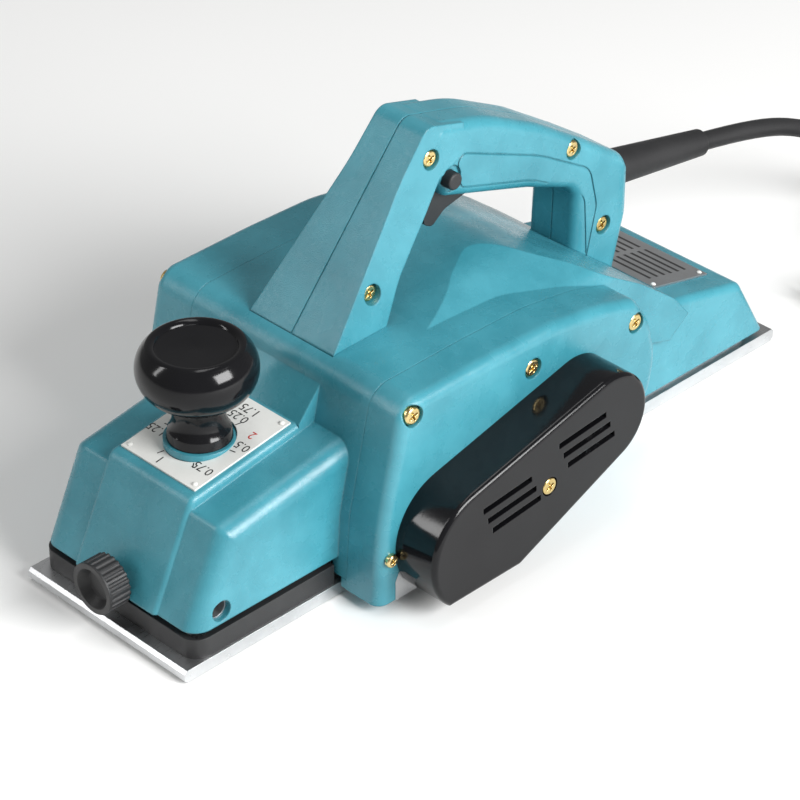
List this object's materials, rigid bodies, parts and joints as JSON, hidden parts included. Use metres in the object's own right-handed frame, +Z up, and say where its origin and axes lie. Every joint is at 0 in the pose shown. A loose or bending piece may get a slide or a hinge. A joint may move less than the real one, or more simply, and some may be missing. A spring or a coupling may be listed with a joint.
{
  "type": "electric hand planer",
  "caption": "Portable electric hand planer with D handle, belt-driven cutter drum, two-part sole, depth knob and power cord.",
  "frame": {"origin": "on the rear sole, under the middle of the tool's length and width", "axes": "+Z up, -Y the planing direction, +X towards the belt side"},
  "size_m": [0.2251, 0.5504, 0.1683],
  "materials": {
    "teal_shell": "satin moulded nylon",
    "black_gloss": "polished moulding",
    "black_plastic": "fine grain",
    "cast_base": "die cast with a machined sole",
    "cast_frame": "die cast",
    "steel": "ground",
    "core_steel": "stacked sheet",
    "copper": "enamelled wire",
    "brass_screws": "yellow plated",
    "fan_plastic": "moulded",
    "carbon": "pressed carbon",
    "plate": "printed sheet",
    "rubber": "matt moulded rubber"
  },
  "bodies": {
    "housing": {"rear_base": "cast_base", "rear_base_screws": "steel", "main_frame": "cast_frame", "motor_bracket": "cast_frame", "motor_bracket_screws": "steel", "main_housing": "teal_shell", "left_cover": "teal_shell", "cover_screws": "brass_screws", "motor_housing": "teal_shell", "belt_cover": "black_gloss", "drive_belt": "rubber", "chip_duct": "black_plastic", "drum_bearings": "steel", "fan_baffle": "black_plastic", "field_stator": "core_steel", "field_coils": "copper", "brush_holders": "brass_screws", "carbon_brushes": "carbon", "motor_bearing_left": "steel", "motor_bearing_right": "steel", "knob_seat": "teal_shell", "scale_plate": "plate", "nameplate": "plate", "plate_rivets": "plate", "guide_rod_block": "cast_frame", "handle_left_half": "teal_shell", "handle_right_half": "teal_shell", "handle_screws": "brass_screws", "trigger_pin": "steel", "switch_body": "black_plastic", "capacitor": "black_plastic", "cord_clamp": "black_plastic", "cord_guard": "rubber", "power_cord": "rubber", "cord_coil": "rubber", "cord_tail": "rubber", "plug_body": "rubber", "plug_pins": "brass_screws"},
    "front_base": {"front_base": "cast_base", "front_skirt": "black_plastic"},
    "cutter": {"cutter_drum": "steel", "planer_blades": "steel", "blade_clamps": "steel", "blade_bolts": "steel", "drum_pulley": "steel", "drum_pulley_nut": "steel"},
    "armature": {"motor_shaft": "steel", "armature_core": "core_steel", "armature_windings": "copper", "commutator": "copper", "cooling_fan": "fan_plastic", "motor_pulley": "steel", "motor_pulley_nut": "steel"},
    "depth_knob": {"depth_knob": "black_gloss", "depth_spindle": "steel"},
    "trigger": {"trigger": "black_plastic"},
    "lock_button": {"lock_button": "black_plastic"},
    "thumb_screw": {"thumb_screw": "black_plastic", "thumb_stud": "steel"}
  },
  "joints": [
    {"name": "depth_knob_turn", "type": "hinge", "parent": "housing", "child": "depth_knob", "pos_m": [0, -0.124, 0.09], "axis": [0, 0, -1], "range_deg": [0, 480]},
    {"name": "front_base_slide", "type": "slide", "parent": "housing", "child": "front_base", "axis": [0, 0, 1], "range_m": [0, 0.002]},
    {"name": "drum_spin", "type": "hinge", "parent": "housing", "child": "cutter", "pos_m": [0, -0.057, 0.0285], "axis": [1, 0, 0], "continuous": true},
    {"name": "armature_spin", "type": "hinge", "parent": "housing", "child": "armature", "pos_m": [0, 0.0175, 0.0525], "axis": [1, 0, 0], "continuous": true},
    {"name": "trigger_pull", "type": "hinge", "parent": "housing", "child": "trigger", "pos_m": [0, 0.027, 0.1315], "axis": [-1, 0, 0], "range_deg": [0, 8], "stiffness_Nm_per_rad": 1, "springref_deg": -5.73},
    {"name": "lock_button_push", "type": "slide", "parent": "housing", "child": "lock_button", "axis": [-1, 0, 0], "range_m": [0, 0.003], "stiffness_N_per_m": 800, "springref_m": -0.002},
    {"name": "thumb_screw_turn", "type": "hinge", "parent": "housing", "child": "thumb_screw", "pos_m": [0, -0.183, 0.0235], "axis": [0, 1, 0], "range_deg": [0, 180]}
  ],
  "couplings": [
    {"joint": "depth_knob_turn", "follows": "front_base_slide", "rad_per_m": 4188.8},
    {"joint": "armature_spin", "follows": "drum_spin", "ratio": 1.5}
  ]
}
